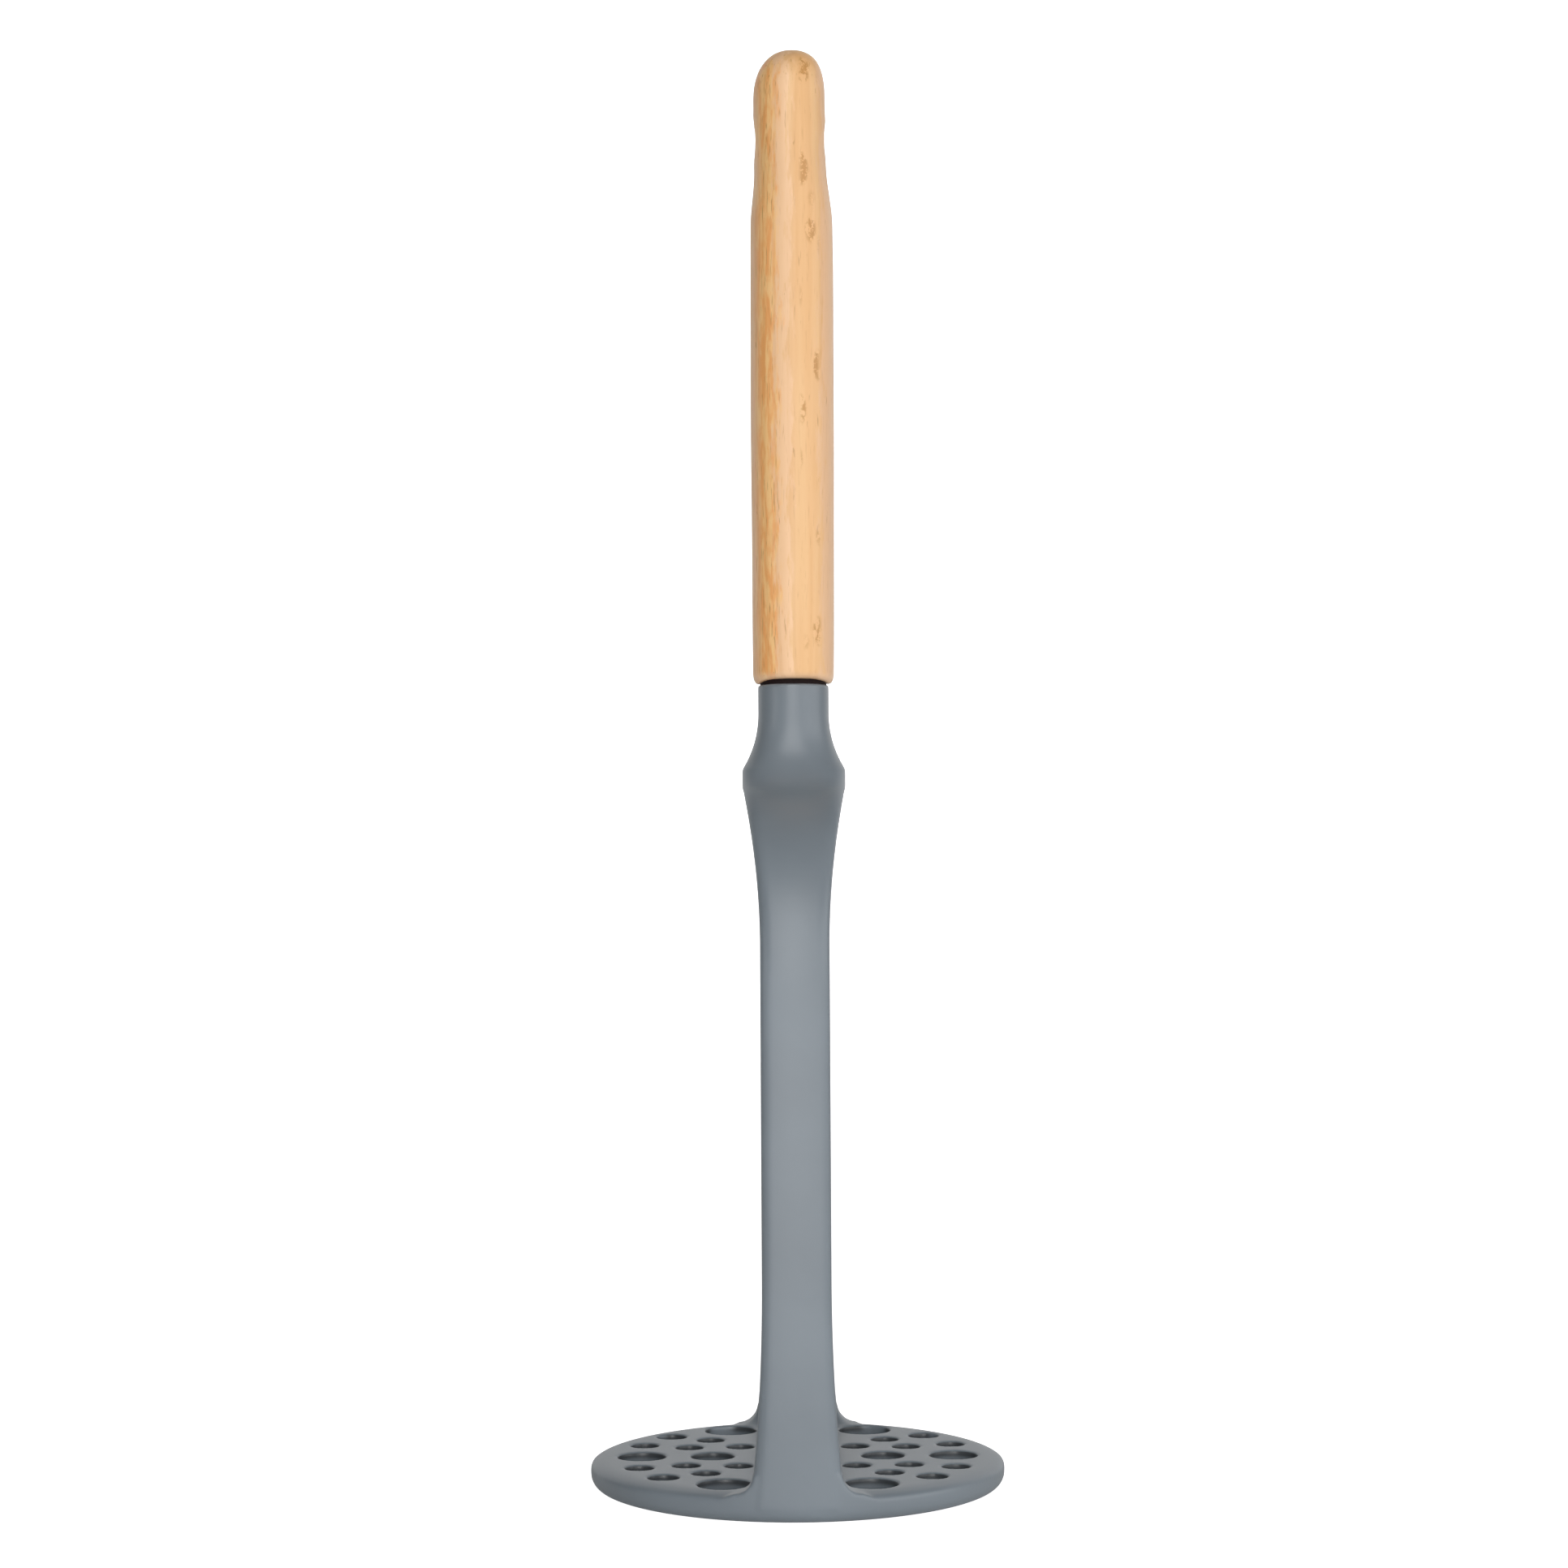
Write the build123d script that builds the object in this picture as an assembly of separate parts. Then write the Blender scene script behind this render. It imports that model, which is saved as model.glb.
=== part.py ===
from build123d import *
import math
import os

# Potato masher: a beech handle glued onto a stiff core that is overmoulded with silicone.
# Millimetres. +Z is up, and the origin is the middle of the plate's underside.
# The arch stands in the YZ plane, so its arms are at -Y and +Y, and the handle is broad along Y.

# Overall sizes
overall_height = 291.2
arch_height = 144.4
neck_length = 16.9

# Perforated plate
plate_diameter = 84.0
plate_thickness = 5.6
rim_round_width = 4.7
rim_round_height = 1.5
rim_under_radius = 2.7

# Holes through the plate. Their places are shares of the plate's radius in one quarter of it, and
# each place off an axis is mirrored across that axis.
middle_hole_diameter = 8.7
side_hole_diameter = 9.7
foot_hole_diameter = 10.8
slant_hole_diameter = 6.2
small_hole_diameter = 5.7
middle_hole_shares = ((0.0, 0.0), (0.412, 0.0), (0.0, 0.538))
side_hole_shares = ((0.754, 0.0),)
foot_hole_shares = ((0.338, 0.700),)
slant_hole_shares = ((0.630, 0.530),)
small_hole_shares = ((0.0, 0.288), (0.281, 0.250), (0.532, 0.235), (0.432, 0.432), (0.753, 0.291))

# Arch: a strap whose outer face runs on from the plate's rim, with a half-round top
strap_thickness = 6.0
strap_width = 13.4
strap_edge_radius = 1.8
strap_set_back = 0.05
crown_width = 21.0
crown_taper_rise = 7.6
foot_width = 17.6
foot_taper_height = 40.4
foot_radius = 4.0
foot_tuck = 0.25
foot_turn_shares = (0.0, 0.3, 0.55, 0.8, 1.0)

# Neck: an oval column that flares down onto the crown of the arch
neck_width = 14.1
neck_depth = 17.0
neck_width_flare_radius = 21.5
neck_width_flare_height = 12.2
neck_depth_flare_radius = 15.0
neck_edge_radius = 0.7
crown_shoulder_height = 0.6
crown_root_rise = 0.4
crown_root_tuck = 0.7

# How far down the neck each of its slices lies, and how round its corners are there
neck_slice_shares = (
    (0.0, 0.97),
    (0.25, 0.97),
    (0.45, 0.96),
    (0.63, 0.93),
    (0.78, 0.86),
    (0.9, 0.76),
    (1.0, 0.62),
)
root_slice_shares = ((0.0, 0.62), (0.5, 0.5), (1.0, 0.4))

# Stiff core inside the silicone
silicone_wall = 1.4
hole_lining = 0.8
core_edge = 0.5

# Tang of the core, and the socket that it is glued into
tang_diameter = 9.0
tang_tip_chamfer = 1.2
tang_rib_height = 0.35
tang_rib_length = 2.4
tang_rib_count = 6
socket_diameter = 10.6
socket_room = 4.0
socket_end_wood = 28.0

# Beech handle: widths lie along X and depths along Y
handle_width = 16.9
handle_depth = 22.0
handle_end_width = 16.5
handle_end_depth = 20.4
hang_width = 14.3
hang_depth = 20.8
dome_width = 14.6
dome_depth = 20.0
dome_height = 10.2
dome_squareness = 2.5
hang_length = 13.0
hang_slope_length = 14.5
end_arch_width = 13.4
end_arch_height = 1.1
end_edge_radius = 1.5
hanging_hole_diameter = 6.0
hanging_hole_drop = 18.0
hanging_hole_edge = 0.6
dome_turn_shares = (0.0, 0.25, 0.5, 0.7, 0.85, 0.95)
end_turn_shares = (0.0, 0.33, 0.67, 1.0)
slope_shares = ((0.0, 0.0), (0.33, 0.24), (0.67, 0.74), (1.0, 1.0))

# How far a cutting shape runs past what it cuts
overrun = 5.0

plate_radius = plate_diameter / 2
arch_centre_height = arch_height - plate_radius
neck_top_height = arch_height + neck_length
hanging_hole_height = overall_height - hanging_hole_drop
socket_top_height = hanging_hole_height - hanging_hole_diameter / 2 - socket_end_wood
tang_length = socket_top_height - socket_room - neck_top_height


def mirrored(places):
    """Every place on the plate that a table of shares in one quarter stands for."""
    found = set()
    for across, along in places:
        for side in (1, -1):
            for end in (1, -1):
                found.add((side * across * plate_radius, end * along * plate_radius))
    return sorted(found)


def perforations(lining):
    """Every hole of the plate as one cutting shape, wider by a lining all round."""
    groups = (
        (middle_hole_diameter, middle_hole_shares),
        (side_hole_diameter, side_hole_shares),
        (foot_hole_diameter, foot_hole_shares),
        (slant_hole_diameter, slant_hole_shares),
        (small_hole_diameter, small_hole_shares),
    )
    holes = Sketch()
    for diameter, places in groups:
        for x, y in mirrored(places):
            holes += Pos(x, y, -overrun) * Circle(diameter / 2 + lining)
    return extrude(holes, amount=plate_thickness + 2 * overrun + foot_radius)


def plate():
    """The round plate, with a soft rim above and a rounded edge below."""
    round_centre = (plate_radius - rim_round_width, plate_thickness - rim_round_height)
    under_start = plate_radius - rim_under_radius
    with BuildPart() as turned:
        with BuildSketch(Plane.XZ):
            with BuildLine():
                Polyline((round_centre[0], plate_thickness), (0, plate_thickness), (0, 0), (under_start, 0))
                RadiusArc((under_start, 0), (plate_radius, rim_under_radius), -rim_under_radius)
                Line((plate_radius, rim_under_radius), (plate_radius, round_centre[1]))
                EllipticalCenterArc(round_centre, rim_round_width, rim_round_height)
            make_face()
        revolve(axis=Axis.Z)
    return turned.part


def arch_side_outline(inset):
    """The arch seen along X: a band as wide as the plate that rounds over at the top."""
    outer = plate_radius - inset
    inner = plate_radius - strap_thickness + inset
    floor = plate_thickness / 2
    shoulder = arch_centre_height
    with BuildSketch(Plane.YZ) as band:
        with BuildLine():
            Line((-outer, floor), (-outer, shoulder))
            ThreePointArc((-outer, shoulder), (0, shoulder + outer), (outer, shoulder))
            Polyline((outer, shoulder), (outer, floor), (inner, floor), (inner, shoulder))
            ThreePointArc((inner, shoulder), (0, shoulder + inner), (-inner, shoulder))
            Polyline((-inner, shoulder), (-inner, floor), (-outer, floor))
        make_face()
    return band.sketch


def arch_front_outline(inset):
    """The arch seen along Y: narrow arms that widen a little to the feet and more to the crown."""
    strap = strap_width / 2 - inset
    crown = crown_width / 2 - inset
    foot = foot_width / 2 - inset
    foot_top = plate_thickness + foot_taper_height
    crown_bottom = arch_centre_height + crown_taper_rise
    top = arch_height + overrun
    with BuildSketch(Plane.XZ) as outline:
        with BuildLine():
            Polyline((0, 0), (foot, 0), (foot, plate_thickness))
            TangentArc((strap, foot_top), (foot, plate_thickness), tangent=(0, -1))
            Line((strap, foot_top), (strap, crown_bottom))
            TangentArc((strap, crown_bottom), (crown, arch_height), tangent=(0, 1))
            Polyline((crown, arch_height), (crown, top), (0, top), (0, 0))
        make_face()
        mirror(about=Plane.YZ)
    return outline.sketch


def rim_cylinder():
    """The round wall that both arms are trimmed to, just inside the plate's rim."""
    radius = plate_radius - strap_set_back
    return Cylinder(radius, overall_height, align=(Align.CENTER, Align.CENTER, Align.MIN))


def strap(inset, edge_radius):
    """Both arms and the half-round crown, with soft long edges."""
    band = extrude(arch_side_outline(inset), amount=crown_width, both=True)
    band &= extrude(arch_front_outline(inset), amount=plate_radius + overrun, both=True)
    band &= rim_cylinder()
    if edge_radius == 0:
        return band
    long_edges = [
        edge
        for edge in band.edges()
        if edge.length > strap_width and abs(edge.center().X) > strap_width / 4
    ]
    return fillet(long_edges, edge_radius)


def foot(end):
    """The flare that blends one arm into the plate: rounded slices that widen along a quarter circle."""
    slices = []
    for turn_share in foot_turn_shares:
        turn = turn_share * math.pi / 2
        growth = foot_radius * (1 - math.cos(turn)) - foot_tuck * (1 - turn_share)
        height = plate_thickness + foot_radius * (1 - math.sin(turn))
        slices.append((height, growth))
    slices.append((plate_thickness - rim_round_height, foot_radius * 2))
    sections = []
    for height, growth in slices:
        width = foot_width + 2 * growth
        inner = plate_radius - strap_thickness - growth
        outer = plate_radius + overrun
        corner = strap_edge_radius + min(max(growth, 0), foot_radius)
        place = Pos(0, end * (inner + outer) / 2, height)
        sections.append(place * RectangleRounded(width, outer - inner, corner))
    return loft(sections) & rim_cylinder()


def neck_half_width(height, inset):
    """Half the neck's width along X: straight above, then flaring out to the crown's corners."""
    fall = max(arch_height + neck_width_flare_height - height, 0)
    flare = neck_width_flare_radius - math.sqrt(neck_width_flare_radius**2 - fall**2)
    return neck_width / 2 + flare - inset


def depth_flare_centre():
    """Centre, as (y, z), of the arc that joins the neck's front or back to the top of the arch."""
    across = neck_depth / 2 + neck_depth_flare_radius
    reach = plate_radius + neck_depth_flare_radius
    return across, arch_centre_height + math.sqrt(reach**2 - across**2)


def neck_half_depth(height, inset):
    """Half the neck's depth along Y: straight above, then an arc that runs into the arch."""
    across, centre_height = depth_flare_centre()
    radius = neck_depth_flare_radius + inset
    fall = max(centre_height - height, 0)
    return across - math.sqrt(radius**2 - fall**2)


def neck(inset):
    """The neck: rounded slices from its top to the crown's shoulder, then down into the arch."""
    shoulder = arch_height + crown_shoulder_height
    across, centre_height = depth_flare_centre()
    touch_share = plate_radius / (plate_radius + neck_depth_flare_radius)
    root = arch_centre_height + (centre_height - arch_centre_height) * touch_share + crown_root_rise
    root_half_width = crown_width / 2 - crown_root_tuck - inset

    def slice_at(height, half_width, corner_share):
        half_depth = neck_half_depth(height, inset)
        corner = corner_share * min(half_width, half_depth)
        return Pos(0, 0, height) * RectangleRounded(2 * half_width, 2 * half_depth, corner)

    column = []
    for drop_share, corner_share in neck_slice_shares:
        height = neck_top_height + (shoulder - neck_top_height) * drop_share
        column.append(slice_at(height, neck_half_width(height, inset), corner_share))
    shoulder_half_width = neck_half_width(shoulder, inset)
    root_slices = []
    for drop_share, corner_share in root_slice_shares:
        half_width = shoulder_half_width + (root_half_width - shoulder_half_width) * drop_share
        root_slices.append(slice_at(shoulder + (root - shoulder) * drop_share, half_width, corner_share))
    return loft(column) + loft(root_slices)


def head_outside():
    """The whole head as one block of silicone, before the core's space is taken out."""
    collar = neck(0)
    top_edges = collar.edges().filter_by_position(Axis.Z, neck_top_height, neck_top_height)
    collar = fillet(top_edges, neck_edge_radius)
    block = strap(0, strap_edge_radius) + collar
    block += foot(1)
    block += foot(-1)
    block += plate()
    return block - perforations(0)


def end_arch():
    """The space under the hollowed end of the handle, with its top along a shallow arc."""
    half = end_arch_width / 2
    top = neck_top_height
    with BuildSketch(Plane.XZ) as under:
        with BuildLine():
            ThreePointArc((-half, top), (0, top + end_arch_height), (half, top))
            Polyline((half, top), (half, arch_height), (-half, arch_height), (-half, top))
        make_face()
    return extrude(under.sketch, amount=handle_depth, both=True)


def tang():
    """The ribbed tang: a round bar with rounded ribs and a chamfered tip."""
    radius = tang_diameter / 2
    bar = Pos(0, 0, neck_top_height) * Cylinder(
        radius, tang_length, align=(Align.CENTER, Align.CENTER, Align.MIN)
    )
    bar = chamfer(bar.edges().sort_by(Axis.Z)[-1], tang_tip_chamfer)
    pitch = tang_length / (tang_rib_count + 1)
    for number in range(tang_rib_count):
        height = neck_top_height + pitch * (number + 1)
        rib = Cone(radius, radius + tang_rib_height, tang_rib_length)
        bar += Pos(0, 0, height) * rib
    return bar


def head_core():
    """The stiff core: neck with its tang, arch and perforated plate, all inside the silicone."""
    column = neck(silicone_wall)
    half_width = neck_half_width(neck_top_height, silicone_wall)
    half_depth = neck_half_depth(neck_top_height, silicone_wall)
    corner = neck_slice_shares[0][1] * half_width
    seat = Pos(0, 0, neck_top_height) * RectangleRounded(2 * half_width, 2 * half_depth, corner)
    column += extrude(seat, amount=end_arch_height) & end_arch()
    disc = Pos(0, 0, silicone_wall) * Cylinder(
        plate_radius - silicone_wall,
        plate_thickness - 2 * silicone_wall,
        align=(Align.CENTER, Align.CENTER, Align.MIN),
    )
    disc = chamfer(disc.edges(), core_edge)
    core = strap(silicone_wall, 0) + column
    core += disc
    core += tang()
    return core - perforations(hole_lining)


def socket(radius, depth):
    """A blind round space that starts at the hollowed end of the handle."""
    bore = Pos(0, 0, neck_top_height) * Cylinder(
        radius, depth, align=(Align.CENTER, Align.CENTER, Align.MIN)
    )
    return bore - end_arch()


def tang_adhesive():
    """Cured adhesive: what the tang leaves free in the socket, up to the tang's tip."""
    return socket(socket_diameter / 2, tang_length) - tang()


def oval(height, width, depth):
    """One slice of the handle."""
    return Pos(0, 0, height) * Ellipse(width / 2, depth / 2)


def handle():
    """The beech handle: oval slices along its length, a domed top and the cuts at both ends."""
    dome_base = overall_height - dome_height
    hang_bottom = dome_base - hang_length
    grip_top = hang_bottom - hang_slope_length
    grip_bottom = neck_top_height + end_edge_radius
    grip_length = grip_top - grip_bottom
    dome_slices = []
    for turn_share in dome_turn_shares:
        rise_share = math.sin(turn_share * math.pi / 2)
        size_share = (1 - rise_share**dome_squareness) ** (1 / dome_squareness)
        height = dome_base + dome_height * rise_share
        dome_slices.append(oval(height, dome_width * size_share, dome_depth * size_share))
    end_slices = []
    for turn_share in end_turn_shares:
        turn = turn_share * math.pi / 2
        inset = end_edge_radius * (1 - math.sin(turn))
        height = grip_bottom - end_edge_radius * math.cos(turn)
        end_slices.append(oval(height, handle_end_width - 2 * inset, handle_end_depth - 2 * inset))
    grip_slices = [
        end_slices[-1],
        oval(grip_bottom + grip_length / 2, handle_width, handle_depth),
        oval(grip_top, handle_width, handle_depth),
    ]
    slope_slices = []
    for rise_share, step_share in slope_shares:
        width = handle_width + (hang_width - handle_width) * step_share
        depth = handle_depth + (hang_depth - handle_depth) * step_share
        slope_slices.append(oval(grip_top + hang_slope_length * rise_share, width, depth))
    hang_slices = [
        slope_slices[-1],
        oval(hang_bottom + hang_length / 2, hang_width, hang_depth),
        dome_slices[0],
    ]
    wood = loft([*dome_slices, Vertex(0, 0, overall_height)])
    for slices in (end_slices, grip_slices, slope_slices, hang_slices):
        wood += loft(slices)
    wood -= socket(socket_diameter / 2, tang_length + socket_room)
    wood -= end_arch()
    wood -= Pos(0, 0, hanging_hole_height) * Rot(0, 90, 0) * Cylinder(hanging_hole_diameter / 2, handle_depth)
    rims = [
        edge
        for edge in wood.edges()
        if abs(edge.center().Z - hanging_hole_height) < hanging_hole_diameter
        and edge.length > 2 * hanging_hole_diameter
    ]
    return chamfer(rims, hanging_hole_edge)


def main():
    os.makedirs("parts", exist_ok=True)
    core = head_core()
    export_step(core, "parts/head_core.step")
    export_step(head_outside() - core, "parts/masher_head.step")
    export_step(tang_adhesive(), "parts/tang_adhesive.step")
    export_step(handle(), "parts/beech_handle.step")


main()
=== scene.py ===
import math

import bmesh
import bpy
from mathutils import Matrix, Vector


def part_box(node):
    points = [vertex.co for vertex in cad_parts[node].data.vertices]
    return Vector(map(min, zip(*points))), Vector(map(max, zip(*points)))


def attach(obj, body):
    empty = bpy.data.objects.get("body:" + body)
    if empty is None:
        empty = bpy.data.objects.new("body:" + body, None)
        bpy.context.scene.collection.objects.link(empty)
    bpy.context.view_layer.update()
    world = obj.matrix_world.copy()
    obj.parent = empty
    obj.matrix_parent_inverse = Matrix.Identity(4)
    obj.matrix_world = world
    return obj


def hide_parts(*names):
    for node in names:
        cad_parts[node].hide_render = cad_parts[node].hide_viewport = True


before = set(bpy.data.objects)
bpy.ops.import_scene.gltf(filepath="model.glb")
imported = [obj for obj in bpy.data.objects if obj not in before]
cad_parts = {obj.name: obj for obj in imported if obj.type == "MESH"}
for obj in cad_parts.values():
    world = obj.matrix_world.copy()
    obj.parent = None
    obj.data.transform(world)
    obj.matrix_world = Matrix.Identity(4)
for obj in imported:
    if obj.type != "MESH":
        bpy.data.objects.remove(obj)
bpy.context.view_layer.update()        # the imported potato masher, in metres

# Masher head
# One grey silicone moulding over a stiff core: neck, crown, two arms and the perforated plate.
# It comes out of the mould as one skin, so every edge and every joint between its forms is soft.
mm = 0.001
head_low, head_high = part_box("masher_head")
seam_rise = 1.1 * mm
neck_top = head_high.z + seam_rise

plate_radius = (head_high.x - head_low.x) / 2
plate_thickness = 5.6 * mm
plate_segments = 192
rim_round_width = 4.7 * mm
rim_round_height = 1.5 * mm
rim_round_steps = 10
rim_under_radius = 2.7 * mm
rim_under_steps = 6

arch_height = 144.4 * mm
arch_centre_height = arch_height - plate_radius
strap_thickness = 6.0 * mm
strap_half_width = 6.7 * mm
strap_edge_radius = 1.9 * mm
strap_edge_segments = 6
strap_face_cuts = 12
arm_steps = 40
crown_steps = 72
crown_half_width = 11.0 * mm
crown_taper_height = 34.4 * mm

foot_half_width = 8.8 * mm
foot_taper_height = 40.4 * mm
foot_radius = 3.6 * mm
foot_tuck = 0.2 * mm
foot_squareness = 6
foot_steps = 8
foot_segments = 96

neck_half_width = 7.18 * mm
neck_half_depth = 8.5 * mm
neck_edge_radius = 0.35 * mm
neck_edge_steps = 5
neck_squareness = 2.25
neck_steps = 30
neck_segments = 96
width_flare_radius = 21.5 * mm
width_flare_height = 12.2 * mm
depth_flare_radius = 15.0 * mm
shoulder_height = arch_height + 0.75 * mm
shoulder_squareness = 3.5
root_rise = 0.3 * mm
root_tuck = 0.6 * mm
root_squareness = 4.5
root_steps = 8

# Under the plate's top each foot goes on widening where the rim falls away, as
# (drop in heights of the rim's rounding, growth in foot radii)
foot_root_rows = ((0.4, 1.45), (1.0, 2.1))

# Holes of the plate, as (diameter, places in one quarter); each is mirrored across both middles
hole_groups = (
    (8.7 * mm, ((0, 0), (17.3 * mm, 0), (0, 22.6 * mm))),
    (9.7 * mm, ((31.7 * mm, 0),)),
    (10.8 * mm, ((14.2 * mm, 29.4 * mm),)),
    (6.2 * mm, ((26.45 * mm, 22.25 * mm),)),
    (
        5.7 * mm,
        (
            (0, 12.1 * mm),
            (11.8 * mm, 10.5 * mm),
            (22.35 * mm, 9.87 * mm),
            (18.15 * mm, 18.15 * mm),
            (31.65 * mm, 12.23 * mm),
        ),
    ),
)
hole_lip = 0.35 * mm
hole_lip_steps = 5
hole_cut_past = 6.0 * mm
hole_segments = 40

skin_voxel = 0.42 * mm
skin_passes = 4
skin_kept = 0.52

silicone_deep = (0.180, 0.208, 0.234, 1)
silicone_light = (0.203, 0.235, 0.264, 1)

# Painted shade in the holes: their walls are darkened in the colour, standing in for the shade that
# falls in them. The painted shade starts inside the plate's rim, deepens under each hole's lip and
# fades towards the middle of the plate's height.
painted_hole_shade = (0.030, 0.034, 0.037, 1)
shade_from_rim = (4.0 * mm, 5.0 * mm)
shade_under_lip = (0.10 * mm, 0.40 * mm)
shade_fade = (0.8 * mm, 1.7 * mm)


def rounding(steps):
    """Even steps round a quarter circle, as (how far past its start, how far short of its end)."""
    turns = [step / steps * math.pi / 2 for step in range(steps + 1)]
    return [(1 - math.cos(turn), 1 - math.sin(turn)) for turn in turns]


def pull(form, face, rise):
    """Pulls a face straight up, with walls behind it, and returns the face."""
    grown = bmesh.ops.extrude_face_region(form, geom=[face, *face.edges])["geom"]
    face = next(item for item in grown if isinstance(item, bmesh.types.BMFace))
    bmesh.ops.translate(form, verts=face.verts[:], vec=(0, 0, rise))
    return face


def stack(slices, segments):
    """A closed form from level slices, each (height, half width, half depth, squareness, centre y).

    A squareness of 2 is an ellipse, and a higher one has flatter sides and tighter corners.
    """
    form = bmesh.new()
    bmesh.ops.create_circle(form, cap_ends=True, radius=1, segments=segments)
    top = form.faces[:][0]
    for _ in slices[1:]:
        top = pull(form, top, 1)
    for vert in form.verts:
        height, half_width, half_depth, squareness, centre = slices[round(vert.co.z)]
        across, along = vert.co.x, vert.co.y
        power = 2 / squareness
        vert.co.x = half_width * math.copysign(abs(across) ** power, across)
        vert.co.y = centre + half_depth * math.copysign(abs(along) ** power, along)
        vert.co.z = height
    bmesh.ops.recalc_face_normals(form, faces=form.faces[:])
    return form


def round_slice(height, radius):
    """A circle as a slice of a stack."""
    return height, radius, radius, 2, 0


def rectangle(width, depth):
    """A level rectangle with its middle at the origin."""
    form = bmesh.new()
    bmesh.ops.create_grid(form, x_segments=1, y_segments=1, size=0.5)
    bmesh.ops.scale(form, verts=form.verts[:], vec=(width, depth, 1))
    return form


def gathered(forms):
    """Several forms in one bmesh, side by side and not yet joined."""
    together = bmesh.new()
    for form in forms:
        carrier = bpy.data.meshes.new("carrier")
        form.to_mesh(carrier)
        form.free()
        together.from_mesh(carrier)
        bpy.data.meshes.remove(carrier)
    return together


def to_object(form, name):
    """A bmesh as a new object at the origin."""
    mesh = bpy.data.meshes.new(name)
    form.to_mesh(mesh)
    form.free()
    piece = bpy.data.objects.new(name, mesh)
    bpy.context.scene.collection.objects.link(piece)
    return piece


def settle(piece):
    """Applies a piece's modifiers to its mesh."""
    depsgraph = bpy.context.evaluated_depsgraph_get()
    finished = bpy.data.meshes.new_from_object(piece.evaluated_get(depsgraph))
    piece.modifiers.clear()
    piece.data = finished


def combine(piece, other, operation):
    """Joins another closed form to a piece, or cuts it out, and removes it."""
    step = piece.modifiers.new("combine", "BOOLEAN")
    step.operation = operation
    step.solver = "EXACT"
    step.object = other
    settle(piece)
    bpy.data.objects.remove(other)


def soften(piece, voxel, passes, kept):
    """Turns joined forms into one even skin whose edges and joints are rounded."""
    skin = piece.modifiers.new("skin", "REMESH")
    skin.mode = "VOXEL"
    skin.voxel_size = voxel
    skin.use_smooth_shade = True
    ease = piece.modifiers.new("ease", "SMOOTH")
    ease.factor = 0.5
    ease.iterations = passes
    if kept < 1:
        thin = piece.modifiers.new("thin", "DECIMATE")
        thin.ratio = kept
    settle(piece)
    for face in piece.data.polygons:
        face.use_smooth = True


def plate_form():
    """The round plate: flat faces, a tight lower edge and a broad soft upper rim."""
    slices = []
    for past, short in rounding(rim_under_steps):
        slices.append(round_slice(rim_under_radius * past, plate_radius - rim_under_radius * short))
    for past, short in rounding(rim_round_steps):
        height = plate_thickness - rim_round_height * short
        slices.append(round_slice(height, plate_radius - rim_round_width * past))
    return stack(slices, plate_segments)


def foot_form(end):
    """The flare at one arm's foot, widening along a quarter circle into the plate."""
    rows = []
    for step, (past, short) in enumerate(rounding(foot_steps)):
        growth = foot_radius * past - foot_tuck * (1 - step / foot_steps)
        rows.append((plate_thickness + foot_radius * short, growth))
    for drop, growth in foot_root_rows:
        rows.append((plate_thickness - drop * rim_round_height, growth * foot_radius))
    outer = plate_radius + foot_radius
    slices = []
    for height, growth in rows:
        inner = plate_radius - strap_thickness - growth
        half_depth = (outer - inner) / 2
        middle = end * (inner + outer) / 2
        slices.append((height, foot_half_width + growth, half_depth, foot_squareness, middle))
    return stack(slices, foot_segments)


def trim_form():
    """The upright wall of the plate's rim, which the outer faces of both feet follow."""
    form = bmesh.new()
    bmesh.ops.create_cone(
        form,
        cap_ends=True,
        radius1=plate_radius,
        radius2=plate_radius,
        depth=neck_top,
        segments=plate_segments,
    )
    return form


def strap_width_at(height):
    """Half the strap's width: narrow along the arms, wider at the feet and at the crown."""
    foot_top = plate_thickness + foot_taper_height
    crown_bottom = arch_height - crown_taper_height
    if height < foot_top:
        fall = (foot_top - height) / foot_taper_height
        return strap_half_width + (foot_half_width - strap_half_width) * fall**2
    rise = max(height - crown_bottom, 0) / crown_taper_height
    return strap_half_width + (crown_half_width - strap_half_width) * rise**2


def strap_form():
    """Both arms and the crown: a rounded section pulled up, spun over the top and down again."""
    form = rectangle(2 * strap_half_width, strap_thickness)
    bmesh.ops.bevel(
        form,
        geom=form.verts[:],
        offset=strap_edge_radius,
        segments=strap_edge_segments,
        profile=0.5,
        affect="VERTICES",
        material=-1,
    )
    broad = [edge for edge in form.edges if edge.calc_length() > strap_thickness]
    bmesh.ops.subdivide_edges(form, edges=broad, cuts=strap_face_cuts)

    # The outer face is crowned across its width, as the plate's rim is
    for vert in form.verts:
        outward = max(-vert.co.y / (strap_thickness / 2), 0)
        vert.co.y += outward * (plate_radius - math.sqrt(plate_radius**2 - vert.co.x**2))
    start_height = plate_thickness / 2
    start = (0, strap_thickness / 2 - plate_radius, start_height)
    bmesh.ops.translate(form, verts=form.verts[:], vec=start)
    section = bmesh.ops.dissolve_faces(form, faces=form.faces[:])["region"][0]
    arm_rise = (arch_centre_height - start_height) / arm_steps
    for _ in range(arm_steps):
        section = pull(form, section, arm_rise)
    spun = bmesh.ops.spin(
        form,
        geom=[section, *section.edges],
        cent=(0, 0, arch_centre_height),
        axis=(1, 0, 0),
        angle=-math.pi,
        steps=crown_steps,
        use_merge=False,
    )["geom_last"]
    section = next(item for item in spun if isinstance(item, bmesh.types.BMFace))
    for _ in range(arm_steps):
        section = pull(form, section, -arm_rise)
    for vert in form.verts:
        vert.co.x *= strap_width_at(vert.co.z) / strap_half_width
    bmesh.ops.recalc_face_normals(form, faces=form.faces[:])
    return form


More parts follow.
